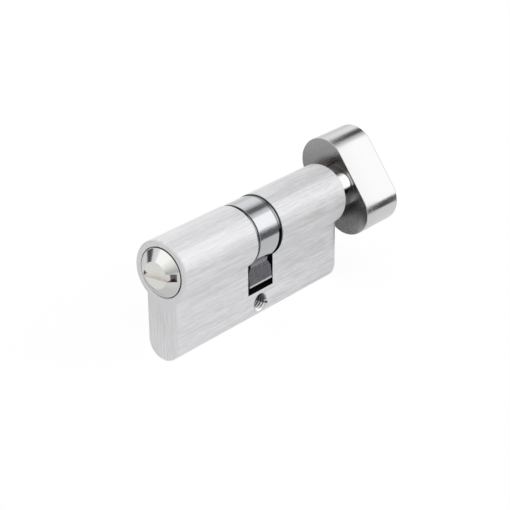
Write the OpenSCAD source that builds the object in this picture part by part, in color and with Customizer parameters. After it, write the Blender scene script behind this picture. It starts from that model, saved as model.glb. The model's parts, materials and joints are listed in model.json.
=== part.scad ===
// Euro profile cylinder with a coin release outside and a thumb turn inside.
// Origin at the fixing hole's centre, +X along the rotors towards the thumb turn, +Z towards the round head.

/* [Body] */
// Length from the middle of the cam slot to the coin end
coin_side_l = 32.5; // [28:0.5:60]
// Length from the middle of the cam slot to the turn end
turn_side_l = 32.5; // [30:0.5:60]
// Radius of the round head
head_r = 8.5; // [8.3:0.05:9]
// Height of the whole profile
profile_h = 33; // [32:0.1:36]
// Width of the web under the head
web_w = 10; // [9:0.1:11]
// Fillet in the corner between head and web
web_fillet = 0.5; // [0.2:0.1:1]
// Rounding of the edges at both ends
end_round = 0.6; // [0.2:0.1:0.8]

/* [Fixing hole and cam slot] */
// Radius of the M5 fixing hole
hole_r = 2.5; // [2:0.1:3]
// Height of the fixing hole's centre above the bottom
hole_rise = 5.3; // [4:0.1:6]
// Chamfer at both mouths of the fixing hole
hole_chamfer = 0.3; // [0.1:0.05:0.5]
// Wall between the fixing hole and the cam slot
hole_wall = 1.4; // [1:0.1:2]
// Width of the cam slot
slot_w = 10; // [9:0.1:12]

/* [Rotors] */
// Radius of the rotor bores
rotor_bore_r = 5.5; // [5:0.05:5.7]
// Radial clearance of the rotors in their bores
running_clear = 0.04; // [0.02:0.01:0.08]
// Radius of the rotors' heads
rotor_head_r = 6.5; // [6.3:0.05:7]
// Thickness of the rotors' heads
rotor_head_t = 1.6; // [1:0.1:3]
// Radial clearance around the rotors' heads
head_clear = 0.3; // [0.1:0.05:0.4]
// Axial play under the rotors' heads
axial_clear = 0.05; // [0.02:0.01:0.1]
// Chamfer at the mouths of the counterbores
mouth_chamfer = 0.15; // [0.05:0.05:0.3]
// Gap between the two rotors inside the cam
rotor_gap = 0.3; // [0.1:0.1:1]

/* [Coin plug] */
// How far the flat centre stands out of the body
cone_rise = 2; // [1:0.1:3]
// Radius of the flat centre
flat_r = 3.6; // [2:0.1:4.5]
// Step between the cone's foot and the edge of the head
cone_step = 0.1; // [0.05:0.05:0.5]
// Width of the coin slot
coin_slot_w = 2; // [1.5:0.1:2.5]
// Depth of the coin slot below the flat centre
coin_slot_depth = 1.55; // [1:0.05:2.5]
// Angle of the coin slot at rest
coin_slot_angle = 3.5; // [0:0.5:20]

/* [Retaining rings] */
// Thickness of the circlips
circlip_t = 0.8; // [0.5:0.05:0.9]
// Radial width of the circlips
circlip_wall = 3.3; // [1.8:0.1:3.4]
// Depth of the circlip grooves in the rotors
circlip_groove = 0.6; // [0.4:0.1:0.8]
// Width of the opening in the circlips
circlip_mouth = 8.2; // [5:0.1:8.5]
// Play of a circlip in its groove
circlip_play = 0.02; // [0.01:0.01:0.05]
// Play between the coin side circlip and the wall of the cam slot
coin_clip_play = 0.05; // [0.02:0.01:0.3]
// Play between the turn side circlip and the wall of the cam slot
turn_clip_play = 0.3; // [0.05:0.05:0.5]
// Angle of the coin side circlip's opening, from the top towards +Y
coin_clip_angle = 10; // [0:5:355]
// Angle of the turn side circlip's opening, from the top towards +Y
turn_clip_angle = 250; // [0:5:355]

/* [Cam] */
// How far the cam ring lies below the head's surface
cam_inset = 0.15; // [0.05:0.05:0.4]
// Play between the cam ring and the circlip on the coin side
cam_play_coin = 0.15; // [0.1:0.05:0.6]
// Play between the cam ring and the circlip on the turn side
cam_play_turn = 0.1; // [0.05:0.05:0.8]
// Rounding of the cam ring's edges
cam_edge = 0.25; // [0.1:0.05:0.4]
// Setback of the tongue from each side of the web
tongue_setback = 1.7; // [1.5:0.1:2]
// Clearance between the tongue's tip and the floor of the slot
tip_clear = 0.8; // [0.5:0.1:1.5]
// Fillet between ring and tongue
tongue_fillet = 2; // [1:0.1:2.2]
// Rounding of the tongue's tip
tip_round = 0.8; // [0.4:0.1:1]
// How far the tongue stands out past the ring on each side
tongue_over = 0.6; // [0.2:0.1:0.8]
// How far the tongue's root is cut back from each side of the ring
root_cut = 0.55; // [0.2:0.05:1.5]
// Distance from the axis to the shoulders, where the tongue reaches its full width
shoulder_drop = 10.35; // [9.5:0.05:11.5]
// Length of the sloping shoulders
shoulder_l = 1.75; // [0.5:0.05:2]
// Angle of the cam and the drive bar at rest
cam_angle = 8.5; // [0:0.5:20]

/* [Drive bar] */
// Thickness of the drive bar
bar_t = 3; // [2:0.1:4]
// How far the drive bar reaches into the cam ring
bar_reach = 1.1; // [0.8:0.1:1.3]
// Setback of the drive bar from each face of the cam
bar_inset = 1; // [0.8:0.1:1.5]
// Clearance around the drive bar
bar_clear = 0.05; // [0.02:0.01:0.1]

/* [Thumb turn] */
// Length of the oval knob across the axis
knob_l = 28.9; // [24:0.1:36]
// Width of the oval knob
knob_w = 14.4; // [13:0.1:18]
// Depth of the oval knob along the axis
knob_depth = 14.25; // [12:0.05:20]
// Rounding of the knob's edge next to the body
knob_near_round = 0.15; // [0.05:0.05:1]
// Rounding of the knob's outer edge
knob_far_round = 0.6; // [0.1:0.1:2]
// Distance from the body's end to the knob
neck_l = 5.9; // [4:0.1:10]
// Angle of the knob at rest
knob_angle = 35.4; // [0:0.2:90]

/* [Spindle tail and grub screw] */
// Radius of the spindle's tail in the knob
tail_r = 4; // [3.6:0.1:4.2]
// Depth of the tail in the knob
tail_depth = 9; // [8:0.1:10]
// Radial clearance of the tail in the knob
tail_clear = 0.03; // [0.01:0.01:0.05]
// Depth of the flat on the tail under the grub screw
tail_flat = 0.6; // [0.3:0.1:1]
// Radius of the grub screw
screw_r = 2; // [1.5:0.1:2.5]
// Distance of the grub screw from the knob's near face
screw_inset = 5; // [4:0.1:6]
// How far the grub screw lies below the knob's side
screw_sink = 0.4; // [0.2:0.1:0.8]
// Radius of the grub screw's hexagon socket, across its corners
socket_r = 1.15; // [0.8:0.05:1.3]
// Depth of the hexagon socket
socket_depth = 1.6; // [1:0.1:2]
// Clearance around the grub screw
screw_clear = 0.02; // [0.01:0.01:0.05]

/* [Drag detent and seal] */
// Distance of the detent from the turn end
detent_inset = 14.5; // [12:0.5:18]
// Radius of the detent ball
ball_r = 1.5; // [1.2:0.1:1.8]
// Depth of the ball's groove round the spindle
ball_groove = 0.6; // [0.4:0.1:0.8]
// Clearance around the ball
ball_clear = 0.1; // [0.05:0.01:0.15]
// Radius of the spring's wire
wire_r = 0.25; // [0.2:0.05:0.3]
// Number of the spring's turns
spring_turns = 8; // [5:1:9]
// Clearance at the spring's ends
spring_clear = 0.05; // [0.02:0.01:0.1]
// Length of the plug under the spring
plug_l = 5; // [4:0.1:6]
// Clearance of the plug in its chamber
plug_clear = 0.01; // [0.005:0.005:0.02]
// Distance of the O-ring from the turn end
o_ring_inset = 5; // [4:0.5:8]
// Radius of the O-ring's section
o_ring_r = 0.6; // [0.4:0.05:0.8]
// Clearance of the O-ring in its groove
o_ring_clear = 0.04; // [0.02:0.01:0.08]

/* [Hidden] */
$fn = 96;
// Overlap that lets a cut run past a face
past = 1;

// Heights, measured down from the rotors' axis
bottom_drop = profile_h - head_r;
hole_drop = bottom_drop - hole_rise;
slot_drop = hole_drop - hole_r - hole_wall;
cam_throw = slot_drop - tip_clear;
axis_z = hole_drop;
foot_r = web_w / 2;

// Rotors and retaining rings
rotor_r = rotor_bore_r - running_clear;
groove_r = rotor_r - circlip_groove;
circlip_r = groove_r + circlip_play + circlip_wall;

// Places along the axis
body_l = coin_side_l + turn_side_l;
slot_x = slot_w / 2;
coin_clip_x = -slot_x + coin_clip_play;
turn_clip_x = slot_x - turn_clip_play - circlip_t;
cam_x0 = coin_clip_x + circlip_t + cam_play_coin;
cam_x1 = turn_clip_x - cam_play_turn;
cam_w = cam_x1 - cam_x0;
cam_x = (cam_x0 + cam_x1) / 2;
tongue_x0 = cam_x0 - tongue_over;
tongue_x1 = cam_x1 + tongue_over;
plug_end = cam_x - rotor_gap / 2;
spindle_end = cam_x + rotor_gap / 2;
knob_x = turn_side_l + neck_l;
detent_x = turn_side_l - detent_inset;
o_ring_x = turn_side_l - o_ring_inset;

// Cam and drive bar
cam_ring_r = head_r - cam_inset;
tongue_w = web_w - 2 * tongue_setback;
bar_half = rotor_bore_r + bar_reach;
bar_l = cam_w - 2 * bar_inset;

// Detent, from the ball down to the plug
ball_drop = rotor_r - ball_groove + ball_clear + ball_r;
chamber_r = ball_r + ball_clear;
coil_r = chamber_r - wire_r - 2 * spring_clear;
plug_top = bottom_drop - plug_l;
coil_top = ball_drop + sqrt(pow(ball_r + wire_r + spring_clear, 2) - pow(coil_r, 2));
coil_foot = plug_top - wire_r - spring_clear;
coil_pitch = (coil_foot - coil_top) / spring_turns;
coil_rings = 8;
wire_sides = 6;
echo(spring_gap = coil_pitch - 2 * wire_r);

// A straight run along X of a section drawn in Y and Z about the rotors' axis
module run_x(x0, x1) {
    translate([x0, 0, axis_z])
        rotate([90, 0, 90])
            linear_extrude(x1 - x0)
                children();
}

// A revolve about the rotors' axis of a profile drawn as radius and distance along X
module revolve_x(x0 = 0, drop = 0) {
    translate([x0, 0, axis_z - drop])
        rotate([90, 0, 90])
            rotate_extrude()
                children();
}

module rod_x(r, x0, x1) {
    translate([x0, 0, axis_z])
        rotate([0, 90, 0])
            cylinder(r = r, h = x1 - x0);
}

module sleeve_x(r_in, r_out, x0, x1) {
    difference() {
        rod_x(r_out, x0, x1);
        rod_x(r_in, x0 - past, x1 + past);
    }
}

// Turns its children about the rotors' axis
module turned(angle) {
    translate([0, 0, axis_z])
        rotate([-angle, 0, 0])
            translate([0, 0, -axis_z])
                children();
}

// The waste outside a rounded corner at the origin, in the quarter x > -r, y < r
module corner_waste(r) {
    difference() {
        translate([-r, -past])
            square([r + past, r + past]);
        translate([-r, r])
            circle(r);
    }
}

// Half width against depth, with its two outer corners rounded
module edge_section(half, depth, near, far) {
    difference() {
        square([half, depth]);
        translate([half, 0])
            corner_waste(near);
        translate([half, depth])
            mirror([0, 1])
                corner_waste(far);
    }
}

// The two fillets between a round of radius r and a straight neck below it
module root_fillets(r, half, fillet) {
    side = half + fillet;
    drop = sqrt(pow(r + fillet, 2) - pow(side, 2));
    reach = r / (r + fillet);
    for (m = [0, 1])
        mirror([m, 0])
            difference() {
                polygon([[0, -drop], [side, -drop], [side * reach, -drop * reach], [0, -drop * reach]]);
                translate([side, -drop])
                    circle(fillet);
            }
}

// The bar that both the body and the plug in its bottom are cut from
module profile_bar() {
    revolve_x(-coin_side_l)
        edge_section(head_r, body_l, end_round, end_round);
    revolve_x(-coin_side_l, bottom_drop - foot_r)
        edge_section(foot_r, body_l, end_round, end_round);
    translate([-coin_side_l, 0, axis_z - bottom_drop + foot_r])
        linear_extrude(bottom_drop - foot_r)
            rotate(-90)
                for (m = [0, 1])
                    mirror([m, 0])
                        edge_section(web_w / 2, body_l, end_round, end_round);
    run_x(-coin_side_l + end_round, turn_side_l - end_round)
        root_fillets(head_r, web_w / 2, web_fillet);
}

// Counterbore for a rotor's head, at the origin's face and running in along +X
module head_seat() {
    seat_r = rotor_head_r + head_clear;
    translate([0, 0, axis_z])
        rotate([0, 90, 0]) {
            translate([0, 0, -past])
                cylinder(r = seat_r, h = past + rotor_head_t + axial_clear);
            cylinder(r1 = seat_r + mouth_chamfer, r2 = seat_r, h = mouth_chamfer);
        }
}

module fixing_hole() {
    rotate([90, 0, 0])
        cylinder(r = hole_r, h = web_w + 2 * past, center = true);
    for (side = [-90, 90])
        rotate([side, 0, 0])
            translate([0, 0, web_w / 2 - hole_chamfer])
                cylinder(r1 = hole_r, r2 = hole_r + hole_chamfer, h = hole_chamfer);
}

module cylinder_body() {
    color("gainsboro")
        difference() {
            profile_bar();
            rod_x(rotor_bore_r, -coin_side_l - past, turn_side_l + past);
            translate([-coin_side_l, 0, 0])
                head_seat();
            translate([turn_side_l, 0, 0])
                mirror([1, 0, 0])
                    head_seat();
            translate([-slot_x, -head_r - past, axis_z - slot_drop])
                cube([slot_w, 2 * (head_r + past), slot_drop + head_r + past]);
            fixing_hole();
            translate([detent_x, 0, axis_z - bottom_drop - past])
                cylinder(r = chamber_r, h = bottom_drop + past);
        }
}

// The groove that a circlip snaps into, from x0 towards +X
module circlip_seat(x0) {
    sleeve_x(groove_r, rotor_r + past, x0 - circlip_play, x0 + circlip_t + circlip_play);
}

// The cross slot for the drive bar, in a rotor's end
module bar_slot(x0, x1) {
    wide = bar_t + 2 * bar_clear;
    translate([x0, -rotor_r - past, axis_z - wide / 2])
        cube([x1 - x0, 2 * (rotor_r + past), wide]);
}

module coin_plug() {
    face = -coin_side_l - cone_rise;
    color("silver")
        difference() {
            union() {
                rod_x(rotor_head_r, -coin_side_l, -coin_side_l + rotor_head_t);
                rod_x(rotor_r, -coin_side_l, plug_end);
                translate([face, 0, axis_z])
                    rotate([0, 90, 0])
                        cylinder(r1 = flat_r, r2 = rotor_head_r - cone_step, h = cone_rise);
            }
            turned(coin_slot_angle)
                translate([face - past, -rotor_head_r - past, axis_z - coin_slot_w / 2])
                    cube([coin_slot_depth + past, 2 * (rotor_head_r + past), coin_slot_w]);
            circlip_seat(coin_clip_x);
            turned(cam_angle)
                bar_slot(cam_x - bar_l / 2 - bar_clear, plug_end + past);
        }
}

// A circlip with its opening at the top
module circlip(x0) {
    difference() {
        sleeve_x(groove_r + circlip_play, circlip_r, x0, x0 + circlip_t);
        translate([x0 - past, -circlip_mouth / 2, axis_z])
            cube([circlip_t + 2 * past, circlip_mouth, circlip_r + past]);
    }
}

module coin_circlip() {
    color("dimgray")
        turned(coin_clip_angle)
            circlip(coin_clip_x);
}

module turn_circlip() {
    color("dimgray")
        turned(turn_clip_angle)
            circlip(turn_clip_x);
}

// The tongue with its fillets to the ring and its two rounded tip corners
module tongue_section() {
    half = tongue_w / 2;
    tip_x = half - tip_round;
    tip_y = sqrt(pow(cam_throw - tip_round, 2) - pow(tip_x, 2));
    intersection() {
        circle(cam_throw);
        union() {
            translate([-half, -tip_y])
                square([tongue_w, tip_y - rotor_bore_r]);
            translate([-tip_x, -cam_throw])
                square([2 * tip_x, cam_throw - rotor_bore_r]);
            for (side = [-1, 1])
                translate([side * tip_x, -tip_y])
                    circle(tip_round);
            root_fillets(cam_ring_r, half, tongue_fillet);
        }
    }
}

// The tongue seen along Y: its root is cut back at both sides and widens at sloping shoulders
module tongue_outline() {
    top = -shoulder_drop + shoulder_l;
    polygon([
        [tongue_x0, -cam_throw - past], [tongue_x1, -cam_throw - past],
        [tongue_x1, -shoulder_drop], [cam_x1 - root_cut, top], [cam_x1 - root_cut, 0],
        [cam_x0 + root_cut, 0], [cam_x0 + root_cut, top], [tongue_x0, -shoulder_drop]
    ]);
}

module tongue() {
    intersection() {
        run_x(tongue_x0, tongue_x1)
            tongue_section();
        translate([0, 0, axis_z])
            rotate([90, 0, 0])
                linear_extrude(2 * cam_throw, center = true)
                    tongue_outline();
    }
}

module cam() {
    wide = bar_t + 2 * bar_clear;
    long = 2 * (bar_half + bar_clear);
    color("darkgray")
        turned(cam_angle)
            difference() {
                union() {
                    revolve_x(cam_x0)
                        edge_section(cam_ring_r, cam_w, cam_edge, cam_edge);
                    tongue();
                }
                rod_x(rotor_bore_r, cam_x0 - past, cam_x1 + past);
                run_x(cam_x0 - past, cam_x1 + past)
                    square([long, wide], center = true);
            }
}

module drive_bar() {
    color("slategray")
        turned(cam_angle)
            intersection() {
                run_x(cam_x - bar_l / 2, cam_x + bar_l / 2)
                    square([2 * bar_half, bar_t], center = true);
                rod_x(bar_half, cam_x - bar_l, cam_x + bar_l);
            }
}

module turn_spindle() {
    tail_end = knob_x + tail_depth - tail_clear;
    o_ring_slot = o_ring_r + o_ring_clear;
    color("silver")
        difference() {
            union() {
                rod_x(rotor_r, spindle_end, turn_side_l);
                rod_x(rotor_head_r, turn_side_l - rotor_head_t, turn_side_l);
                rod_x(tail_r, turn_side_l, tail_end);
            }
            circlip_seat(turn_clip_x);
            turned(cam_angle)
                bar_slot(spindle_end - past, cam_x + bar_l / 2 + bar_clear);
            revolve_x(detent_x)
                translate([ball_drop, 0])
                    circle(ball_r + ball_clear);
            sleeve_x(rotor_r - 2 * o_ring_slot, rotor_r + past, o_ring_x - o_ring_slot, o_ring_x + o_ring_slot);
            turned(knob_angle)
                translate([knob_x, tail_r - tail_flat, axis_z - tail_r])
                    cube([tail_depth + past, tail_r, 2 * tail_r]);
        }
}

module turn_o_ring() {
    color("black")
        revolve_x(o_ring_x)
            translate([rotor_r - o_ring_r - o_ring_clear, 0])
                circle(o_ring_r);
}

// The oval knob without its neck, long way up
module knob_blank() {
    end_r = knob_w / 2;
    reach = knob_l / 2 - end_r;
    for (side = [-1, 1])
        revolve_x(knob_x, side * reach)
            edge_section(end_r, knob_depth, knob_near_round, knob_far_round);
    translate([knob_x, 0, axis_z - reach])
        linear_extrude(2 * reach)
            rotate(-90)
                for (m = [0, 1])
                    mirror([m, 0])
                        edge_section(end_r, knob_depth, knob_near_round, knob_far_round);
}

module thumb_turn() {
    color("whitesmoke")
        turned(knob_angle)
            difference() {
                union() {
                    knob_blank();
                    rod_x(rotor_head_r, turn_side_l, knob_x);
                }
                rod_x(tail_r + tail_clear, turn_side_l - past, knob_x + tail_depth);
                translate([knob_x + screw_inset, 0, axis_z])
                    rotate([-90, 0, 0])
                        cylinder(r = screw_r + screw_clear, h = knob_w);
            }
}

module grub_screw() {
    foot = tail_r - tail_flat + screw_clear;
    top = knob_w / 2 - screw_sink;
    color("black")
        turned(knob_angle)
            translate([knob_x + screw_inset, 0, axis_z])
                rotate([-90, 0, 0])
                    difference() {
                        translate([0, 0, foot])
                            cylinder(r = screw_r, h = top - foot);
                        translate([0, 0, top - socket_depth])
                            cylinder(r = socket_r, h = socket_depth + past, $fn = 6);
                    }
}

module detent_ball() {
    color("lightsteelblue")
        translate([detent_x, 0, axis_z - ball_drop])
            sphere(ball_r);
}

// A point on the spring's wire: ring i along the coil, corner j round the wire
function wire_point(i, j) =
    let (turn = 360 * i / coil_rings)
    let (around = 360 * j / wire_sides)
    let (reach = coil_r + wire_r * cos(around))
    let (rise = coil_foot - coil_pitch * i / coil_rings - wire_r * sin(around))
    [reach * cos(turn), reach * sin(turn), -rise];

module detent_spring() {
    last = spring_turns * coil_rings;
    points = [for (i = [0:last]) for (j = [0:wire_sides - 1]) wire_point(i, j)];
    corner = function(i, j) i * wire_sides + j % wire_sides;
    walls = [
        for (i = [0:last - 1])
            for (j = [0:wire_sides - 1])
                each [
                    [corner(i, j), corner(i + 1, j), corner(i + 1, j + 1)],
                    [corner(i, j), corner(i + 1, j + 1), corner(i, j + 1)]
                ]
    ];
    ends = [
        for (j = [1:wire_sides - 2])
            each [
                [corner(0, 0), corner(0, j), corner(0, j + 1)],
                [corner(last, 0), corner(last, j + 1), corner(last, j)]
            ]
    ];
    color("dimgray")
        translate([detent_x, 0, axis_z])
            polyhedron(points, concat(walls, ends));
}

module detent_plug() {
    color("goldenrod")
        intersection() {
            translate([detent_x, 0, axis_z - bottom_drop - past])
                cylinder(r = chamber_r - plug_clear, h = plug_l + past);
            profile_bar();
        }
}

cylinder_body();
coin_plug();
coin_circlip();
cam();
drive_bar();
turn_spindle();
turn_circlip();
turn_o_ring();
thumb_turn();
grub_screw();
detent_ball();
detent_spring();
detent_plug();
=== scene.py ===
"""Looks of a euro profile cylinder with a coin release and a thumb turn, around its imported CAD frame."""
import json
import math

import bpy
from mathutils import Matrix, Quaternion, Vector


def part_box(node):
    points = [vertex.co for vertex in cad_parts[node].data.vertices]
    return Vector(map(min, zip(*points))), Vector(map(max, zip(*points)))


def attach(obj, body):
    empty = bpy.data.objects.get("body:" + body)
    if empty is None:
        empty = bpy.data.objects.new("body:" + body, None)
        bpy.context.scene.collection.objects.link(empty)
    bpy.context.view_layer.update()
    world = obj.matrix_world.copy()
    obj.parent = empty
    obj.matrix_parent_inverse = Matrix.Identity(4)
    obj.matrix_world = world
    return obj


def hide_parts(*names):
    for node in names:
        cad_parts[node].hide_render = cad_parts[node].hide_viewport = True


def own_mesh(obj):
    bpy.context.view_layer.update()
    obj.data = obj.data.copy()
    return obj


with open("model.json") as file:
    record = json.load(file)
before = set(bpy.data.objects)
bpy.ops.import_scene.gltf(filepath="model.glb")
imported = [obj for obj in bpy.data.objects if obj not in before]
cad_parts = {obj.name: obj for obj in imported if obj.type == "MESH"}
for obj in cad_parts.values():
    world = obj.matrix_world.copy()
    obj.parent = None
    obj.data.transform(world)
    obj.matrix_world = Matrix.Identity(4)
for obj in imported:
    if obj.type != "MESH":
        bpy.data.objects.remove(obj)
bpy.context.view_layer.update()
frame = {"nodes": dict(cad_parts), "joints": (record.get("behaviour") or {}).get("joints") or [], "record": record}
nodes = frame["nodes"]

# Sizes and places are written in millimetres, and a metre is Blender's own unit
MM = 0.001


def box_mm(node):
    low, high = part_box(node)
    return low / MM, high / MM


def joint(name):
    return next(found for found in frame["joints"] if found["name"] == name)


def mount_dims(name):
    return next(found for found in frame["record"]["mounts"] if found["name"] == name)["dims"]


# Places that the frame gives
body_low, body_high = box_mm("cylinder_body")
cam_low = box_mm("cam")[0]
plug_low = box_mm("coin_plug")[0]
AXIS_Z = joint("turn_spin")["pos_m"][2] / MM
HOLE_R = mount_dims("fixing_hole")["r_mm"]
HOLE_LENGTH = mount_dims("fixing_hole")["length_mm"]
FLOOR_Z = body_low.z

# Places on the pieces that the frame doesn't give
SLOT_HALF = 5
WEB_HALF = 5
HEAD_FOOT = AXIS_Z - 6.9
KNOB_X = 38.4
KNOB_ANGLE = math.radians(35.4)
NECK_R = 6.5
PLUG_ANGLE = math.radians(3.5)
PLUG_SLOT_HALF = 1.0

# The photograph's camera: where it aims, how it stands and its lens
IMAGE_PX = 510
SENSOR_WIDTH = 36
FOCAL_PX = 1689
CAMERA_AIM = Vector((1.63, -1.85, 12.27))
CAMERA_DISTANCE = 441.3
CAMERA_YAW = math.radians(39.763)
CAMERA_PITCH = math.radians(24.723)
CAMERA_ROLL = math.radians(-0.527)
CAMERA_NEAR = 10


def add_object(name, data):
    made = bpy.data.objects.new(name, data)
    bpy.context.scene.collection.objects.link(made)
    return made


def stand(made, place, forward, roll=0.0):
    """Puts a camera or a lamp at a place, looking forward."""
    made.location = place * MM
    made.rotation_mode = "QUATERNION"
    made.rotation_quaternion = forward.to_track_quat("-Z", "Y") @ Quaternion((0, 0, 1), roll)


def place_camera():
    forward = Vector((
        math.cos(CAMERA_PITCH) * math.cos(CAMERA_YAW),
        math.cos(CAMERA_PITCH) * math.sin(CAMERA_YAW),
        -math.sin(CAMERA_PITCH),
    ))
    data = bpy.data.cameras.new("camera")
    data.sensor_width = SENSOR_WIDTH
    data.lens = FOCAL_PX * SENSOR_WIDTH / IMAGE_PX
    data.clip_start = CAMERA_NEAR * MM
    camera = add_object("camera", data)
    stand(camera, CAMERA_AIM - forward * CAMERA_DISTANCE, forward, CAMERA_ROLL)
    bpy.context.scene.camera = camera


PLAIN = (1.0, 1.0, 1.0)
# Where most of a noise lies
NOISE_RANGE = (0.3, 0.7)


def grey(level, tint=PLAIN):
    return tuple(level * share for share in tint) + (1.0,)


class Shader:
    """A material or world under construction: short calls that add nodes and link them."""

    def __init__(self, tree):
        self.tree = tree
        tree.nodes.clear()

    def add(self, kind, **values):
        made = self.tree.nodes.new("ShaderNode" + kind)
        for name, value in values.items():
            setattr(made, name, value)
        return made

    def link(self, source, target):
        self.tree.links.new(source, target)

    def put(self, target, value):
        """Sets a socket from another socket or from a plain value."""
        if isinstance(value, bpy.types.NodeSocket):
            self.link(value, target)
        else:
            target.default_value = value

    def math(self, operation, first, second=0.0, third=0.0):
        made = self.add("Math", operation=operation)
        for target, value in zip(made.inputs, (first, second, third)):
            self.put(target, value)
        return made.outputs[0]

    def ramp(self, source, low, high, from_low=0.0, from_high=1.0):
        """Goes smoothly from low to high while the source goes between its own two values."""
        made = self.add("MapRange", interpolation_type="SMOOTHSTEP")
        for name, value in (("Value", source), ("From Min", from_low), ("From Max", from_high),
                            ("To Min", low), ("To Max", high)):
            self.put(made.inputs[name], value)
        return made.outputs["Result"]

    def rise(self, source, edge, top=1.0):
        """0 before an edge and top past it. An edge is a pair: where it starts and where it ends."""
        return self.ramp(source, 0.0, top, *edge)

    def fall(self, source, edge, top=1.0):
        """Top before an edge and 0 past it."""
        return self.ramp(source, top, 0.0, *edge)

    def both(self, first, *others):
        """Masks multiplied with each other: 1 only where all of them are."""
        for other in others:
            first = self.math("MULTIPLY", first, other)
        return first

    def opposite(self, mask):
        return self.math("SUBTRACT", 1.0, mask)

    def inside(self, source, half):
        """1 where a value is nearer to 0 than a half width."""
        return self.math("LESS_THAN", self.math("ABSOLUTE", source), half)

    def band(self, source, low, high, soft):
        """1 between two values and 0 outside them, with soft edges."""
        past_low = self.rise(source, (low - soft, low + soft))
        return self.both(past_low, self.fall(source, (high - soft, high + soft)))

    def mix(self, factor, first, second):
        made = self.add("Mix", data_type="RGBA")
        for target, value in zip((made.inputs[0], made.inputs[6], made.inputs[7]), (factor, first, second)):
            self.put(target, value)
        return made.outputs[2]

    def tone(self, factor, levels, tint=PLAIN):
        """A grey that goes between two levels."""
        return self.mix(factor, grey(levels[0], tint), grey(levels[1], tint))

    def follow(self, noise, values):
        """A value that goes between two values as a noise does."""
        return self.ramp(noise, *values, *NOISE_RANGE)

    def split(self, vector):
        made = self.add("SeparateXYZ")
        self.link(vector, made.inputs[0])
        return made.outputs

    def place(self):
        """The point's place in the row frame, as x, y and z in millimetres."""
        scaled = self.add("VectorMath", operation="SCALE")
        scaled.inputs["Scale"].default_value = 1 / MM
        self.link(self.add("TexCoord").outputs["Object"], scaled.inputs[0])
        return self.split(scaled.outputs["Vector"])

    def facing(self):
        """The surface's own normal, as x, y and z."""
        return self.split(self.add("TexCoord").outputs["Normal"])

    def noise(self, per_metre, detail=3.0, roughness=0.5, lean=0.0):
        """Noise with its own number of grains per metre along X, Y and Z, which may lean a little."""
        mapping = self.add("Mapping", vector_type="TEXTURE")
        mapping.inputs["Scale"].default_value = [1.0 / grains for grains in per_metre]
        mapping.inputs["Rotation"].default_value = (0.0, lean, lean)
        texture = self.add("TexNoise")
        for name, value in (("Scale", 1.0), ("Detail", detail), ("Roughness", roughness)):
            texture.inputs[name].default_value = value
        self.link(self.add("TexCoord").outputs["Object"], mapping.inputs["Vector"])
        self.link(mapping.outputs["Vector"], texture.inputs["Vector"])
        return texture.outputs["Fac"]

    def length(self, first, second):
        squares = [self.math("MULTIPLY", side, side) for side in (first, second)]
        return self.math("SQRT", self.math("ADD", *squares))

    def from_axis(self):
        """The point's distance from the rotors' axis."""
        _, y, z = self.place()
        return self.length(y, self.math("SUBTRACT", z, AXIS_Z))

    def turned(self, y, up, angle):
        """Along a line that leans back by an angle from upright, and across it towards the front."""
        cosine = math.cos(angle)
        sine = math.sin(angle)
        along = self.math("ADD", self.math("MULTIPLY", y, sine), self.math("MULTIPLY", up, cosine))
        across = self.math("SUBTRACT", self.math("MULTIPLY", up, sine), self.math("MULTIPLY", y, cosine))
        return along, across

    def bump(self, height, depth, strength):
        made = self.add("Bump")
        made.inputs["Strength"].default_value = strength
        made.inputs["Distance"].default_value = depth * MM
        self.link(height, made.inputs["Height"])
        return made.outputs["Normal"]


def new_material(name):
    material = bpy.data.materials.new(name)
    material.use_nodes = True
    shader = Shader(material.node_tree)
    surface = shader.add("BsdfPrincipled")
    output = shader.add("OutputMaterial")
    shader.link(surface.outputs[0], output.inputs["Surface"])
    return material, shader, surface.inputs


def finish_metal(s, inputs, colour, roughness, normal):
    s.link(colour, inputs["Base Color"])
    inputs["Metallic"].default_value = 1.0
    s.link(roughness, inputs["Roughness"])
    s.link(normal, inputs["Normal"])


def dress(node, material):
    """Puts a material on every slot of a CAD node."""
    for place in nodes[node].material_slots:
        place.material = material


# How near a face lies to a place to count as being there
SKIN = 0.02

# Fixing hole: the height of the notch where its thread starts, and edges of the shade on the body's wall
NOTCH_Z = -0.8
HOLE_RIM_R = (HOLE_R + SKIN, HOLE_R + 0.10)
HOLE_SHADE_DEPTH = (0.6, 1.5)
HOLE_SHADE = 0.95
NOTCH_HALF = (0.15, 0.4)
NOTCH_X = (1.2, 1.8)
NOTCH_END_R = (HOLE_R + 0.35, HOLE_R + 0.65)
NOTCH_SHADE = 0.9


def hole_depth(s, y):
    return s.math("SUBTRACT", WEB_HALF, s.math("ABSOLUTE", y))


def from_notch(s, z):
    return s.math("ABSOLUTE", s.math("SUBTRACT", z, NOTCH_Z))


def hole_shade(s, x, y, z):
    """0 on open faces, and almost 1 down the fixing hole and in the notch where its thread starts."""
    radius = s.length(x, z)
    deep = s.both(s.fall(radius, HOLE_RIM_R), s.rise(hole_depth(s, y), HOLE_SHADE_DEPTH, HOLE_SHADE))
    notch = s.both(
        s.fall(from_notch(s, z), NOTCH_HALF, NOTCH_SHADE),
        s.rise(x, NOTCH_X),
        s.fall(radius, NOTCH_END_R),
        s.math("LESS_THAN", y, 0.0),
    )
    return s.math("MAXIMUM", deep, notch)


# Strokes of the brush: grains per metre along a stroke and across it, lean in radians, and weight
STROKES = (
    (30, 1200, 0.012, 0.26),
    (90, 2400, -0.025, 0.28),
    (220, 3600, 0.02, 0.26),
    (520, 3400, -0.015, 0.20),
)
STROKE_RANGE = (0.38, 0.62)
STROKE_MIDDLE = 0.5


def brush(s, upright):
    """All strokes together, about STROKE_MIDDLE on the whole."""
    total = 0.0
    for along, across, lean, weight in STROKES:
        grains = (across, across, along) if upright else (along, across, across)
        stroke = s.noise(grains, detail=2.0, roughness=0.6, lean=lean)
        total = s.math("MULTIPLY_ADD", stroke, weight, total)
    return total


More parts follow.
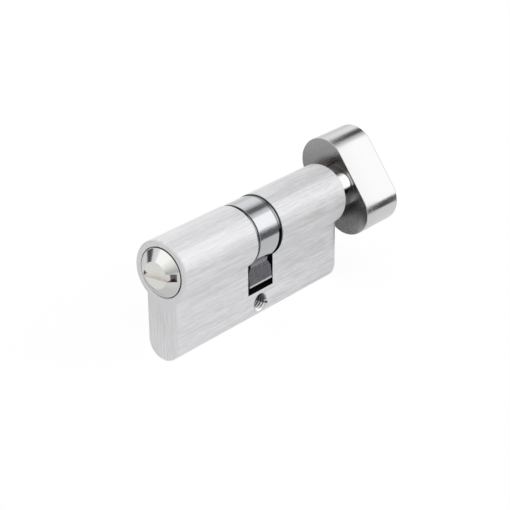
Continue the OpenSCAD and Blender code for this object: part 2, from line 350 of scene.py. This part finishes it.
# Body: how bright its nickel is from dark to light strokes, with the turn half painted darker as shade, and how
# dark the painted shade is where little light comes
NICKEL_TINT = (0.995, 0.995, 1.01)
COIN_HALF_LEVELS = (0.84, 1.0)
TURN_HALF_LEVELS = (0.72, 0.94)
TURN_END_SHADE_LEVEL = 0.42
KNOB_SHADE_LEVEL = 0.25
HOLE_LEVEL = 0.01
SLOT_SHADE_LEVEL = 0.012
NICKEL_ROUGHNESS = (0.48, 0.62)
SLOT_ROUGHNESS = 0.3

# Edges on the body: how far a face turns towards its ends, heights, places along it and radii
END_LEAN = (0.6, 0.9)
TURN_END_LEAN = (0.7, 0.9)
CALM_END_Z = (AXIS_Z - 13, AXIS_Z - 8)
CALM_END = 0.8
SLOT_BOTTOM = cam_low.z - 1.0
SLOT_LIP_R = (8.05, 8.40)
SLOT_LIP_Z = (AXIS_Z - 6, AXIS_Z + 3)
SLOT_LIP = 0.75
KNOB_SHADE_X = (body_high.x - 1.8, body_high.x)
KNOB_SHADE_LOW_Z = (2.5, HEAD_FOOT - 2.0)
KNOB_SHADE_HIGH_Z = (HEAD_FOOT, HEAD_FOOT + 1.0)
KNOB_SHADE = 0.6


def in_cam_slot(s, x, z):
    """1 on the walls of the cam slot, where shade is painted, and less on their outer lip, which catches light."""
    slot = s.both(s.inside(x, SLOT_HALF + SKIN), s.math("GREATER_THAN", z, SLOT_BOTTOM))
    lip = s.both(s.rise(s.from_axis(), SLOT_LIP_R), s.rise(z, SLOT_LIP_Z, SLOT_LIP))
    return s.both(slot, s.opposite(lip))


def nickel_colour(s, x, y, z, facing_x, strokes):
    """The turn half painted darker than the coin half as shade, with painted shade beside the knob, on the end
    face towards the knob and in the hole.
    """
    shade = s.rise(strokes, STROKE_RANGE)
    coin_half = s.tone(shade, COIN_HALF_LEVELS, NICKEL_TINT)
    turn_half = s.tone(shade, TURN_HALF_LEVELS, NICKEL_TINT)
    metal = s.mix(s.rise(x, (body_low.x, body_high.x)), coin_half, turn_half)
    under_head = s.both(s.rise(z, KNOB_SHADE_LOW_Z), s.fall(z, KNOB_SHADE_HIGH_Z))
    by_knob = s.both(under_head, s.rise(x, KNOB_SHADE_X, KNOB_SHADE))
    metal = s.mix(by_knob, metal, grey(KNOB_SHADE_LEVEL))
    # Painted shade: the end face towards the knob is coloured darker, as shade between the body and the knob
    metal = s.mix(s.rise(facing_x, TURN_END_LEAN), metal, grey(TURN_END_SHADE_LEVEL))
    return s.mix(hole_shade(s, x, y, z), metal, grey(HOLE_LEVEL))


def brushed_nickel():
    """Satin nickel, brushed lengthways on the long sides and upright on the ends, with painted shade in the cam
    slot, which is also rougher.
    """
    material, s, inputs = new_material("brushed_nickel_body")
    x, y, z = s.place()
    facing_x = s.facing()[0]
    on_end = s.rise(s.math("ABSOLUTE", facing_x), END_LEAN)
    strokes = s.mix(on_end, brush(s, False), brush(s, True))
    strokes = s.mix(s.both(on_end, s.rise(z, CALM_END_Z, CALM_END)), strokes, grey(STROKE_MIDDLE))
    # Painted shade: the walls of the cam slot are coloured almost black
    slot = in_cam_slot(s, x, z)
    colour = s.mix(slot, nickel_colour(s, x, y, z, facing_x, strokes), grey(SLOT_SHADE_LEVEL))
    roughness = s.math("MULTIPLY_ADD", slot, SLOT_ROUGHNESS, s.follow(strokes, NICKEL_ROUGHNESS))
    finish_metal(s, inputs, colour, roughness, s.bump(strokes, depth=0.012, strength=0.5))
    inputs["Anisotropic"].default_value = 0.55
    inputs["Anisotropic Rotation"].default_value = 0.25
    stroke = s.add("CombineXYZ")
    s.link(s.opposite(on_end), stroke.inputs["X"])
    s.link(on_end, stroke.inputs["Z"])
    s.link(stroke.outputs[0], inputs["Tangent"])
    return material


# Plain metals: grains per metre, how far a level swings about its own, and how far roughness does
FINE_GRAIN = (2500, 2500, 2500)
BARE_GRAIN = (6000, 6000, 6000)
FINE_SWING = 0.04
BARE_SWING = 0.12
ROUGHNESS_SWING = 0.2


def polished(name, level, roughness, tint=PLAIN, grain=FINE_GRAIN, swing=FINE_SWING):
    """Bright metal with a fine uneven polish."""
    material, s, inputs = new_material(name)
    haze = s.noise(grain)
    colour = s.tone(haze, (level - swing, level + swing), tint)
    uneven = s.follow(haze, (roughness * (1 - ROUGHNESS_SWING), roughness * (1 + ROUGHNESS_SWING)))
    finish_metal(s, inputs, colour, uneven, s.bump(haze, depth=0.002, strength=0.3))
    return material


def plain_metal(name, level, roughness, tint):
    """Bare metal, with a finer grain that shows more."""
    return polished(name, level, roughness, tint, BARE_GRAIN, level * BARE_SWING)


# Cam: edges from the rotors' axis where the tongue, its face and its worn tip start, and the ring's flank
TONGUE_R = (8.4, 8.6)
TONGUE_FACE_R = (9.1, 9.5)
TONGUE_TIP_R = (13.80, 13.92)
RING_FLANK_LEAN = (-0.6, -0.3)
# Levels and tints of its steel, and of the painted shade on the ring's flank in the gap towards the coin side
RING_LEVELS = (0.57, 0.68)
RING_TINT = (0.98, 1.0, 1.03)
RING_FLANK_SHADE_LEVEL = 0.12
ROOT_LEVELS = (0.26, 0.42)
ROOT_TINT = (1.0, 1.0, 1.03)
FACE_LEVELS = (0.12, 0.26)
FACE_TINT = (0.99, 1.0, 1.08)
TIP_LEVELS = (0.65, 0.85)
RING_ROUGHNESS = (0.12, 0.20)
TONGUE_ROUGHNESS = 0.34
GRAIN_RANGE = (0.35, 0.65)
GRAIN_OVER_SCUFFS = 4.0


def cam_steel():
    """Sintered steel: the ring is polished, and the tongue is dull and dark with a bright worn tip."""
    material, s, inputs = new_material("sintered_cam")
    radius = s.from_axis()
    tongue = s.rise(radius, TONGUE_R)
    grain = s.rise(s.noise((2600, 2600, 2600), detail=4.0, roughness=0.7), GRAIN_RANGE)
    scuffs = s.noise((500, 2200, 2200), detail=4.0, roughness=0.65)
    ring = s.tone(scuffs, RING_LEVELS, RING_TINT)
    # Painted shade: the ring's flank that faces the coin side is dark, as it lies in the narrow gap by the slot
    # wall
    ring = s.mix(s.fall(s.facing()[0], RING_FLANK_LEAN), ring, grey(RING_FLANK_SHADE_LEVEL))
    root = s.tone(grain, ROOT_LEVELS, ROOT_TINT)
    face = s.tone(grain, FACE_LEVELS, FACE_TINT)
    face = s.mix(s.rise(radius, TONGUE_TIP_R), face, s.tone(grain, TIP_LEVELS))
    colour = s.mix(s.rise(radius, TONGUE_FACE_R), s.mix(tongue, ring, root), face)
    roughness = s.math("MULTIPLY_ADD", tongue, TONGUE_ROUGHNESS, s.follow(scuffs, RING_ROUGHNESS))
    height = s.math("MULTIPLY_ADD", s.both(grain, tongue), GRAIN_OVER_SCUFFS, scuffs)
    finish_metal(s, inputs, colour, roughness, s.bump(height, depth=0.006, strength=0.5))
    return material


# Coin plug: how far a face turns to be its flat, where the painted shade on the lower cone starts and where its
# slot is sunk
FLAT_LEAN = (-0.97, -0.9)
LOW_CONE_UP = (-3.5, -1.0)
LOW_CONE = 0.8
SUNK_X = (plug_low.x + 0.05, plug_low.x + 0.2)
# Levels and tints of its plate: the flat is painted brighter as light, and the lower cone and the slot's ends are
# painted darker as shade
CONE_LEVELS = (0.76, 0.84)
CONE_TINT = (1.005, 1.0, 0.975)
FLAT_LEVELS = (0.86, 0.94)
FLAT_TINT = (1.005, 1.0, 0.96)
LOW_CONE_SHADE_LEVELS = (0.64, 0.70)
MILLED_LEVELS = (0.93, 0.97)
MILLED_TINT = (1.03, 1.0, 0.97)
SLOT_END_SHADE_COLOUR = grey(0.15, (1.05, 1.0, 1.0))
PLATE_ROUGHNESS = (0.14, 0.20)
MILLED_ROUGHNESS = 0.3
# Edges of the painted shade in the slot's two ends, along the slot towards the front and up across it
NEAR_END_SHADE = ((3.3, 3.8), (5.7, 5.9))
FAR_END_SHADE = ((-5.5, -5.2), (-4.9, -4.5))
FAR_END_SHADE_TOP = (-0.45, -0.15)


def slot_end_shade(s, upright, front):
    """1 where shade is painted into the two ends of the coin slot."""
    near, far = (
        s.both(s.rise(front, start), s.fall(front, end))
        for start, end in (NEAR_END_SHADE, FAR_END_SHADE)
    )
    return s.math("MAXIMUM", near, s.both(far, s.fall(upright, FAR_END_SHADE_TOP)))


def plug_faces(s, up, haze):
    """The cone, its flat centre, which is painted brighter as light, and its lower side, which is painted darker
    as shade.
    """
    flat = s.fall(s.facing()[0], FLAT_LEAN)
    low_cone_shade = s.both(s.opposite(flat), s.fall(up, LOW_CONE_UP, LOW_CONE))
    plate = s.mix(flat, s.tone(haze, CONE_LEVELS, CONE_TINT), s.tone(haze, FLAT_LEVELS, FLAT_TINT))
    return s.mix(low_cone_shade, plate, s.tone(haze, LOW_CONE_SHADE_LEVELS))


def coin_plate():
    """Polished plate of the coin plug, with painted light and shade on its faces, and a dull slot with shade
    painted into its ends.
    """
    material, s, inputs = new_material("polished_plug")
    x, y, z = s.place()
    up = s.math("SUBTRACT", z, AXIS_Z)
    upright, front = s.turned(y, up, PLUG_ANGLE)
    slot = s.both(s.rise(x, SUNK_X), s.inside(upright, PLUG_SLOT_HALF + SKIN))
    wall = s.both(slot, s.opposite(s.inside(upright, PLUG_SLOT_HALF - SKIN)))
    haze = s.noise(FINE_GRAIN)
    colour = s.mix(wall, plug_faces(s, up, haze), s.tone(haze, MILLED_LEVELS, MILLED_TINT))
    colour = s.mix(s.both(slot, slot_end_shade(s, upright, front)), colour, SLOT_END_SHADE_COLOUR)
    roughness = s.math("MULTIPLY_ADD", wall, MILLED_ROUGHNESS, s.follow(haze, PLATE_ROUGHNESS))
    finish_metal(s, inputs, colour, roughness, s.bump(haze, depth=0.002, strength=0.3))
    return material


# What the knob's face mirrors beside the neck: from and to along it, softness, reach from the axis, level
NECK_MIRROR = (
    (-6.1, -4.1, 0.5, 9.5, 0.33),
    (-3.9, -2.1, 0.4, 8.5, 0.22),
    (-1.95, 1.6, 0.4, 6.7, 1.00),
)
MIRROR_TINT = (1.04, 1.0, 0.98)
MIRROR_FRONT = (0.0, 1.5)
MIRROR_SOFT = 0.35


def mirror_neck(s, metal, radius, along, across):
    """Adds the body's end, the neck's dark side and its bright top, as the knob's front mirrors them."""
    front = s.rise(across, MIRROR_FRONT)
    for low, high, soft, reach, level in NECK_MIRROR:
        near = s.fall(radius, (reach - MIRROR_SOFT, reach + MIRROR_SOFT))
        here = s.both(front, s.band(along, low, high, soft), near)
        metal = s.mix(here, metal, grey(level, MIRROR_TINT))
    return metal


# Knob: levels and tints of its satin, of the face towards the body, which carries painted shade and painted
# reflection, and of painted shade on the neck
SATIN_LEVELS = (0.64, 0.72)
SATIN_TINT = (1.0, 1.0, 1.01)
HIGH_LOBE_LEVELS = (0.50, 0.58)
LOW_LOBE_LEVELS = (0.82, 0.92)
ROUND_NECK_SHADE_LEVELS = (0.19, 0.24)
ROUND_NECK_TINT = (1.08, 1.0, 0.96)
NECK_SHADE_LEVEL = 0.05
# Edges on it: how far a face turns to the body or away, radii, and places along, across and up
NEAR_LEAN = (-0.95, -0.7)
FAR_LEAN = (0.7, 0.95)
LOW_LOBE_ALONG = (-9, -6)
LOW_EDGE_ACROSS = (0.0, 5.5)
LOW_EDGE = 0.85
ROUND_NECK_R = (7.4, 9.8)
NECK_SKIN = 0.1
NECK_END_X = KNOB_X - 0.05
NECK_TOP_UP = (5.0, 5.7)
NECK_TOP = 0.75
NECK_SIDE_UP = ((-3.0, 1.3), (1.8, 2.5))
NECK_SIDE = 0.9
# Roughness along the knob from the body outwards, and what its neck and its two ends change
SATIN_ROUGHNESS = (0.27, 0.17)
SATIN_X = (KNOB_X, KNOB_X + 8)
NECK_ROUGHNESS = -0.18
FAR_ROUGHNESS = 0.25
ROUND_NECK_ROUGHNESS = -0.16
ROUND_NECK_POLISH_R = (6.6, 7.6)
SATIN_UNEVEN = (0.85, 1.15)
NEAR_GRAIN = 0.3


def neck_shade(s, y, up):
    """Shade along the top of the neck and on its front side, sharp above and soft below."""
    top = s.rise(up, NECK_TOP_UP, NECK_TOP)
    soft_low, sharp_high = NECK_SIDE_UP
    side = s.both(s.rise(up, soft_low, NECK_SIDE), s.fall(up, sharp_high), s.math("LESS_THAN", y, 0.0))
    return s.math("MAXIMUM", top, side)


def near_face(s, radius, along, across, haze):
    """The face towards the body, all painted light and shade: dark round the neck, a darker upper lobe, a bright
    lower lobe with a black edge, and the neck as mirrored.
    """
    low_lobe = s.fall(along, LOW_LOBE_ALONG)
    lobes = s.mix(low_lobe, s.tone(haze, HIGH_LOBE_LEVELS), s.tone(haze, LOW_LOBE_LEVELS))
    face = s.mix(s.rise(radius, ROUND_NECK_R), s.tone(haze, ROUND_NECK_SHADE_LEVELS, ROUND_NECK_TINT), lobes)
    face = s.mix(s.both(low_lobe, s.rise(across, LOW_EDGE_ACROSS, LOW_EDGE)), face, grey(0.0))
    return mirror_neck(s, face, radius, along, across)


def satin_roughness(s, x, radius, neck, near, far, haze):
    satin = s.ramp(x, *SATIN_ROUGHNESS, *SATIN_X)
    satin = s.math("MULTIPLY_ADD", neck, NECK_ROUGHNESS, satin)
    satin = s.math("MULTIPLY_ADD", far, FAR_ROUGHNESS, satin)
    round_neck = s.ramp(radius, ROUND_NECK_ROUGHNESS, 0.0, *ROUND_NECK_POLISH_R)
    satin = s.math("MULTIPLY_ADD", near, round_neck, satin)
    return s.both(satin, s.follow(haze, SATIN_UNEVEN))


def satin_knob():
    """Fine satin, duller towards the body, with a polished neck, and painted shade and reflection on the neck and
    on the face towards the body.
    """
    material, s, inputs = new_material("satin_knob")
    x, y, z = s.place()
    facing_x = s.facing()[0]
    near = s.fall(facing_x, NEAR_LEAN)
    far = s.rise(facing_x, FAR_LEAN)
    radius = s.from_axis()
    up = s.math("SUBTRACT", z, AXIS_Z)
    along, across = s.turned(y, up, KNOB_ANGLE)
    neck = s.both(s.math("LESS_THAN", radius, NECK_R + NECK_SKIN), s.math("LESS_THAN", x, NECK_END_X))
    haze = s.noise((900, 2600, 2600), detail=4.0, roughness=0.6)
    satin = s.tone(haze, SATIN_LEVELS, SATIN_TINT)
    satin = s.mix(s.both(neck, neck_shade(s, y, up)), satin, grey(NECK_SHADE_LEVEL))
    colour = s.mix(near, satin, near_face(s, radius, along, across, haze))
    roughness = satin_roughness(s, x, radius, neck, near, far, haze)
    grain = s.both(haze, s.ramp(near, 1.0, NEAR_GRAIN))
    finish_metal(s, inputs, colour, roughness, s.bump(grain, depth=0.003, strength=0.4))
    return material


# Cut thread: its levels, how its light goes with the depth and the height, and shade beside the notch
CUT_LEVELS = (0.75, 0.95)
CUT_ROUGHNESS = (0.22, 0.38)
CUT_SHADE = grey(0.02, (1.1, 1.0, 0.95))
CUT_DEEP_LIGHT = 0.5
CUT_DEEP = (1.0, 3.5)
CUT_HIGH_LIGHT = 0.16
CUT_HIGH_Z = (-1.3, -0.2)
CUT_MOUTH = (0.6, 1.2)
CUT_MOUTH_LIGHT = 0.6
CUT_NOTCH_HALF = (0.1, 0.35)
CUT_NOTCH_SHADE = 0.7


def thread_metal():
    """Cut thread: bright at the mouths of the hole, and dark further in and under its top."""
    material, s, inputs = new_material("cut_thread")
    x, y, z = s.place()
    depth = hole_depth(s, y)
    down_hole = s.ramp(depth, 1.0, CUT_DEEP_LIGHT, *CUT_DEEP)
    light = s.both(down_hole, s.ramp(z, 1.0, CUT_HIGH_LIGHT, *CUT_HIGH_Z))
    light = s.math("MAXIMUM", light, s.fall(depth, CUT_MOUTH, CUT_MOUTH_LIGHT))
    beside_notch = s.fall(from_notch(s, z), CUT_NOTCH_HALF, CUT_NOTCH_SHADE)
    notch = s.both(beside_notch, s.math("GREATER_THAN", x, 0.0))
    cut = s.noise((3000, 6000, 3000), roughness=0.6)
    colour = s.mix(s.both(light, s.opposite(notch)), CUT_SHADE, s.tone(cut, CUT_LEVELS))
    roughness = s.follow(cut, CUT_ROUGHNESS)
    finish_metal(s, inputs, colour, roughness, s.bump(cut, depth=0.003, strength=0.4))
    return material


RUBBER_LEVELS = (0.018, 0.035)
RUBBER_ROUGHNESS = (0.5, 0.7)


def rubber():
    """Black moulded rubber with a faint bloom."""
    material, s, inputs = new_material("o_ring_rubber")
    bloom = s.noise((3000, 3000, 3000), roughness=0.6)
    s.link(s.tone(bloom, RUBBER_LEVELS), inputs["Base Color"])
    s.link(s.ramp(bloom, *RUBBER_ROUGHNESS), inputs["Roughness"])
    s.link(s.bump(bloom, depth=0.01, strength=0.4), inputs["Normal"])
    return material


# Strength of the world as light and in reflections. To the camera it is white
WORLD_LIGHT = 0.48
WORLD_MIRRORED = 0.8
# Floor: half its side, its paper, its glow to the camera, and its glow in reflections along X
FLOOR_HALF = 3000
FLOOR_PAPER = 0.25
FLOOR_SEEN = 0.86
FLOOR_MIRRORED = (0.60, 0.70)
FLOOR_MIRRORED_X = (40, 65)


def mirrored_ray(s, path):
    return s.math("MAXIMUM", path.outputs["Is Glossy Ray"], path.outputs["Is Transmission Ray"])


def set_world():
    """White behind the object and in its reflections, and a calmer grey as light."""
    world = bpy.data.worlds.new("studio")
    bpy.context.scene.world = world
    world.use_nodes = True
    s = Shader(world.node_tree)
    path = s.add("LightPath")
    level = s.ramp(mirrored_ray(s, path), WORLD_LIGHT, WORLD_MIRRORED)
    background = s.add("Background")
    background.inputs["Color"].default_value = grey(1.0)
    s.link(s.math("MAXIMUM", level, path.outputs["Is Camera Ray"]), background.inputs["Strength"])
    output = s.add("OutputWorld")
    s.link(background.outputs[0], output.inputs["Surface"])


def link_mesh(name, vertices, faces, material):
    mesh = bpy.data.meshes.new(name)
    mesh.from_pydata(vertices, [], faces)
    mesh.update()
    mesh.materials.append(material)
    return add_object(name, mesh)


def link_card(name, corners, material):
    """One four-sided face between corners in millimetres."""
    card = link_mesh(name, [Vector(corner) * MM for corner in corners], [(0, 1, 2, 3)], material)
    return card


def floor_material():
    """White paper that keeps a soft shadow, and that is clear when it is seen from below."""
    material = bpy.data.materials.new("floor")
    material.use_nodes = True
    s = Shader(material.node_tree)
    path = s.add("LightPath")
    paper = s.add("BsdfDiffuse")
    paper.inputs["Color"].default_value = grey(FLOOR_PAPER)
    glow = s.add("Emission")
    seen = s.math("MULTIPLY", path.outputs["Is Camera Ray"], FLOOR_SEEN)
    mirrored = s.ramp(s.place()[0], *FLOOR_MIRRORED, *FLOOR_MIRRORED_X)
    s.link(s.math("MULTIPLY_ADD", mirrored_ray(s, path), mirrored, seen), glow.inputs["Strength"])
    above = s.add("AddShader")
    s.link(paper.outputs[0], above.inputs[0])
    s.link(glow.outputs[0], above.inputs[1])
    sides = s.add("MixShader")
    s.link(s.add("NewGeometry").outputs["Backfacing"], sides.inputs[0])
    s.link(above.outputs[0], sides.inputs[1])
    s.link(s.add("BsdfTransparent").outputs[0], sides.inputs[2])
    output = s.add("OutputMaterial")
    s.link(sides.outputs[0], output.inputs["Surface"])
    return material


def make_floor():
    signs = ((-1, -1), (1, -1), (1, 1), (-1, 1))
    corners = [(x * FLOOR_HALF, y * FLOOR_HALF, FLOOR_Z) for x, y in signs]
    link_card("floor", corners, floor_material())


def make_flag(name, corners, level, tint=PLAIN):
    """A card that only shows in reflections. Its level is a number, or a function that makes a socket."""
    material = bpy.data.materials.new(name)
    material.use_nodes = True
    s = Shader(material.node_tree)
    glow = s.add("Emission")
    glow.inputs["Color"].default_value = grey(1.0, tint)
    s.put(glow.inputs["Strength"], level(s) if callable(level) else level)
    output = s.add("OutputMaterial")
    s.link(glow.outputs[0], output.inputs["Surface"])
    card = link_card(name, corners, material)
    card.visible_camera = False
    card.visible_diffuse = False
    card.visible_shadow = False


def fade_up(low_level, high_level, low_z, high_z):
    """A level that changes with the height."""
    return lambda s: s.ramp(s.place()[2], low_level, high_level, low_z, high_z)


# Share of a strip's half width, from its middle, that keeps the middle's level
STRIP_CORE = 0.25


def fade_out(middle_level, edge_level, y0, y1):
    """A level that changes from the middle of a strip to its two long edges."""
    middle = (y0 + y1) / 2
    half = abs(y1 - y0) / 2

    def level(s):
        beside = s.math("ABSOLUTE", s.math("SUBTRACT", s.place()[1], middle))
        return s.ramp(beside, middle_level, edge_level, STRIP_CORE * half, half)

    return level


def strip_flag(name, x_ends, low_edge, high_edge, level):
    """A flag parallel to the rotors' axis, between two edges that are given by y and z."""
    x0, x1 = x_ends
    make_flag(name, [(x0, *low_edge), (x1, *low_edge), (x1, *high_edge), (x0, *high_edge)], level)


def gap_flag(name, x_ends, reach, angles, middle_level, edge_level):
    """A strip between two angles in degrees, seen from the rotors' axis (0 is +Y, 90 is up)."""
    turns = [math.radians(angle) for angle in angles]
    low, high = [(reach * math.cos(turn), AXIS_Z + reach * math.sin(turn)) for turn in turns]
    strip_flag(name, x_ends, low, high, fade_out(middle_level, edge_level, low[0], high[0]))


def wall_flag(name, ends, low_z, high_z, level, tint=PLAIN):
    """An upright flag between two points on the ground."""
    start, end = ends
    make_flag(name, [(*start, low_z), (*end, low_z), (*end, high_z), (*start, high_z)], level, tint)


# Flags that lie flat: name, height, corners on the ground and level
FLAT_FLAGS = (
    ("dark_floor_front", -5, ((15, -64), (72, -60), (520, -400), (260, -400)), 0.14),
    ("dark_floor_knob", -5, ((72, -60), (95, -44), (560, -400), (520, -400)), 0.01),
    ("dark_floor_back", -5, ((-5, 6), (90, 6), (90, 70), (-5, 70)), 0.10),
    ("grey_floor_back", -5, ((-45, 20), (-5, 20), (-5, 62), (-45, 62)), 0.33),
    ("far_floor_back", -4, ((150, 120), (700, 120), (700, 600), (150, 600)), 0.95),
)

# Softboxes: name, place, point that they face, length, height and radiance
SIDE_RADIANCE = 0.63
SOFTBOXES = (
    ("side_softbox", (390, -321, 258), (390, 0, 19), 620, 360, SIDE_RADIANCE),
    ("top_softbox", (390, 268, 316), (390, 0, 19), 620, 260, 0.22),
    ("coin_softbox", (-348, 87, 254), (-34, 0, 19), 360, 200, 0.35),
)
# Seen in the metal, the side softbox and the world behind it together
SOFTBOX_SEEN = SIDE_RADIANCE + WORLD_MIRRORED
BLUE_SHADE = (0.97, 1.13, 1.45)


def softbox(name, place, aim, length, height, radiance):
    """A lamp that lies level along its length and shows in the metal at the given radiance."""
    data = bpy.data.lights.new(name, "AREA")
    data.shape = "RECTANGLE"
    data.size = length * MM
    data.size_y = height * MM
    data.energy = radiance * math.pi * data.size * data.size_y
    stand(add_object(name, data), Vector(place), Vector(aim) - Vector(place))


def place_flags():
    for name, height, outline, level in FLAT_FLAGS:
        make_flag(name, [(*corner, height) for corner in outline], level)
    wall_flag("horizon_front", ((260, -400), (412, -400)), -5, 58, 0.14)
    wall_flag("horizon_back", ((-320, 280), (60, 280)), 16, 118, 0.07, BLUE_SHADE)
    wall_flag("horizon_left", ((-330, -260), (-330, 150)), -5, 170, fade_up(0.45, 1.0, -5, 170))
    gap_flag("gap_above_cam", (150, 320), 300, (76.5, 106), 0.12, 0.50)
    gap_flag("gap_above_knob", (320, 520), 300, (60, 100), 0.05, 0.75)
    over = fade_up(SOFTBOX_SEEN, 0.75, 280, 314)
    strip_flag("glow_over_softbox", (320, 520), (-148, 280), (-55, 314), over)
    under = fade_up(0.05, SOFTBOX_SEEN, 5, 42)
    strip_flag("glow_under_softbox", (320, 520), (-300, 4), (-293, 84), under)


def light_stage():
    set_world()
    make_floor()
    place_flags()
    for values in SOFTBOXES:
        softbox(*values)


def sweep(name, rings, material):
    """A closed solid through rings of points. Seen from its start, each ring goes round clockwise."""
    count = len(rings[0])
    vertices = [point for ring in rings for point in ring]
    faces = [tuple(range(count))]
    for i in range(len(rings) - 1):
        for j in range(count):
            here = i * count + j
            beside = i * count + (j + 1) % count
            faces.append((here, here + count, beside + count, beside))
    faces.append(tuple(reversed(range(len(vertices) - count, len(vertices)))))
    return link_mesh(name, vertices, faces, material)


# M5 coarse thread: pitch, height of the ridge, how far its foot goes into the wall, half widths of its foot
# and crest, plain wall at each mouth, and steps in a turn
THREAD_PITCH = 0.8
THREAD_DEPTH = 0.38
THREAD_BITE = 0.02
THREAD_FOOT_HALF = 0.36
THREAD_CREST_HALF = 0.05
THREAD_INSET = 0.4
THREAD_STEPS = 48


def make_thread():
    """The fixing hole's thread: one helical ridge that stands on the hole's plain wall."""
    root = HOLE_R + THREAD_BITE
    crest = root - THREAD_DEPTH
    profile = [(root, THREAD_FOOT_HALF), (crest, THREAD_CREST_HALF),
               (crest, -THREAD_CREST_HALF), (root, -THREAD_FOOT_HALF)]
    turns = (HOLE_LENGTH - 2 * THREAD_INSET) / THREAD_PITCH
    rings = []
    for i in range(int(turns * THREAD_STEPS) + 1):
        angle = -2 * math.pi * i / THREAD_STEPS
        along = (i / THREAD_STEPS - turns / 2) * THREAD_PITCH
        rings.append([
            Vector((radius * math.cos(angle), along + offset, radius * math.sin(angle))) * MM
            for radius, offset in profile
        ])
    thread = sweep("fixing_thread", rings, thread_metal())
    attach(thread, "housing")


# Detent spring: radius of its wire, turns, how far its end turns close up, and steps of its mesh
SPRING_WIRE_R = 0.25
SPRING_TURNS = 8
SPRING_CLOSING = 0.4
SPRING_STEPS = 24
WIRE_SIDES = 10


def wire_ring(centre, outward, wire_r):
    """The points round the wire at one step of the coil."""
    around = [2 * math.pi * j / WIRE_SIDES for j in range(WIRE_SIDES)]
    return [centre + (outward * math.cos(a) + Vector((0, 0, math.sin(a)))) * wire_r for a in around]


def make_spring(material):
    """The detent's spring with its end turns closed up."""
    low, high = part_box("detent_spring")
    middle = (low + high) / 2
    wire_r = SPRING_WIRE_R * MM
    coil_r = (high.x - low.x) / 2 - wire_r
    height = high.z - low.z - 2 * wire_r
    count = SPRING_TURNS * SPRING_STEPS
    rings = []
    for i in range(count + 1):
        share = i / count
        rise = share - SPRING_CLOSING * math.sin(2 * math.pi * share) / (2 * math.pi)
        turn = 2 * math.pi * i / SPRING_STEPS
        outward = Vector((math.cos(turn), math.sin(turn), 0))
        centre = Vector((middle.x, middle.y, low.z + wire_r + height * rise)) + outward * coil_r
        rings.append(wire_ring(centre, outward, wire_r))
    coil = sweep("detent_coil", rings, material)
    coil.data.shade_smooth()
    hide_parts("detent_spring")
    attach(coil, "housing")
    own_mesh(coil)


def dress_nodes(spring_steel):
    """Gives each CAD node its material, but for the detent's spring, which a coil replaces."""
    dress("cylinder_body", brushed_nickel())
    dress("coin_plug", coin_plate())
    dress("cam", cam_steel())
    dress("thumb_turn", satin_knob())
    dress("turn_spindle", polished("plated_spindle", 0.74, 0.15, (1.0, 1.0, 1.01)))
    dress("detent_plug", plain_metal("turned_brass", 0.62, 0.25, (1.15, 0.92, 0.5)))
    dress("coin_circlip", spring_steel)
    dress("turn_circlip", spring_steel)
    dress("drive_bar", plain_metal("bar_steel", 0.4, 0.35, (1.0, 1.0, 1.03)))
    dress("detent_ball", polished("ball_steel", 0.78, 0.08))
    dress("grub_screw", plain_metal("black_screw", 0.05, 0.4, (1.0, 1.0, 1.05)))
    dress("turn_o_ring", rubber())


bpy.context.scene.view_settings.view_transform = "Standard"
place_camera()
light_stage()
oiled_steel = plain_metal("oiled_spring_steel", 0.32, 0.2, (0.98, 1.0, 1.03))
dress_nodes(oiled_steel)
make_thread()
make_spring(oiled_steel)
